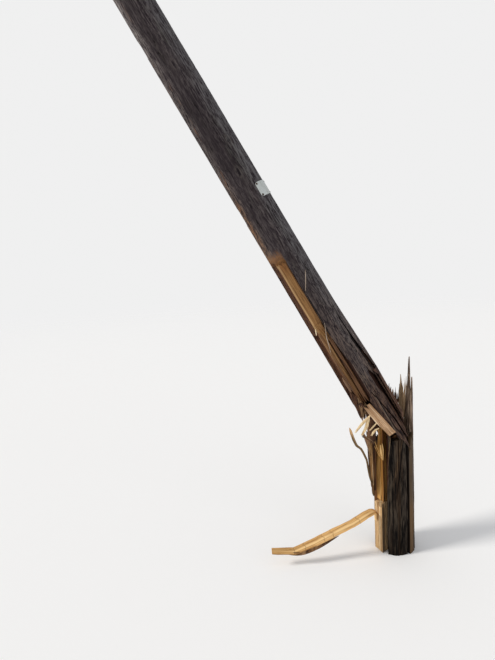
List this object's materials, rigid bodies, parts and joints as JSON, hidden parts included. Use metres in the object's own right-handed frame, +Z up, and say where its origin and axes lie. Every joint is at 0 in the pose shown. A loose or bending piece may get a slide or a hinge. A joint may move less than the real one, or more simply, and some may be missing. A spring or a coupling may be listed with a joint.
{
  "type": "wooden utility pole",
  "caption": "Snapped wooden utility pole: a splintered upright stump, the long shaft leaning off it over torn strips and slats, a blank number plate and line hooks at the head.",
  "frame": {"origin": "centre of the flat ground cut of the stump, at ground level", "axes": "+Z up along the stump, the broken shaft leans towards -X in the XZ plane, -Y is the front, where the torn trough and the number plate are seen, +Y is the side of the line hooks"},
  "size_m": [2.9717, 0.3161, 5.81],
  "materials": {
    "weathered_wood": "rough grey-brown weathered pine with long grain",
    "fresh_wood": "torn golden-orange wood, fibrous",
    "inner_red_wood": "ragged red-brown inner wood",
    "pale_wood": "pale freshly torn fibres",
    "plate_enamel": "blank white plate, slightly soiled",
    "rusty_nail": "dark rusted nail heads",
    "galvanised_steel": "dull hot-dip galvanised"
  },
  "bodies": {
    "root": {"leaning_shaft": "weathered_wood", "right_edge_sliver": "weathered_wood", "right_inner_strip": "fresh_wood", "front_skin_strip": "weathered_wood", "middle_skin_strip": "weathered_wood", "golden_layer": "fresh_wood", "golden_sliver": "fresh_wood", "brown_sliver": "fresh_wood", "left_hanging_splinters": "inner_red_wood", "torn_slab": "pale_wood", "slab_fibres": "pale_wood", "skin_hairs": "pale_wood", "stump_heart": "inner_red_wood", "front_left_shard": "weathered_wood", "front_middle_shard": "weathered_wood", "front_right_shard": "weathered_wood", "right_outer_strip": "fresh_wood", "second_tall_splinter": "weathered_wood", "tall_splinter": "weathered_wood", "yellow_splinters": "pale_wood", "ragged_back_shards": "inner_red_wood", "back_shard": "weathered_wood", "back_left_shard": "weathered_wood", "left_shard": "inner_red_wood", "flared_splinters": "inner_red_wood", "orange_plank": "fresh_wood", "plank_sliver": "pale_wood", "foot_shard": "fresh_wood", "ground_slat": "fresh_wood", "hooked_splinter": "fresh_wood", "number_plate": "plate_enamel", "plate_nails": "rusty_nail", "upper_hook_bolt": "galvanised_steel", "upper_hook_washers": "galvanised_steel", "upper_hook_nut": "galvanised_steel", "lower_hook_bolt": "galvanised_steel", "lower_hook_washers": "galvanised_steel", "lower_hook_nut": "galvanised_steel"}
  },
  "joints": []
}
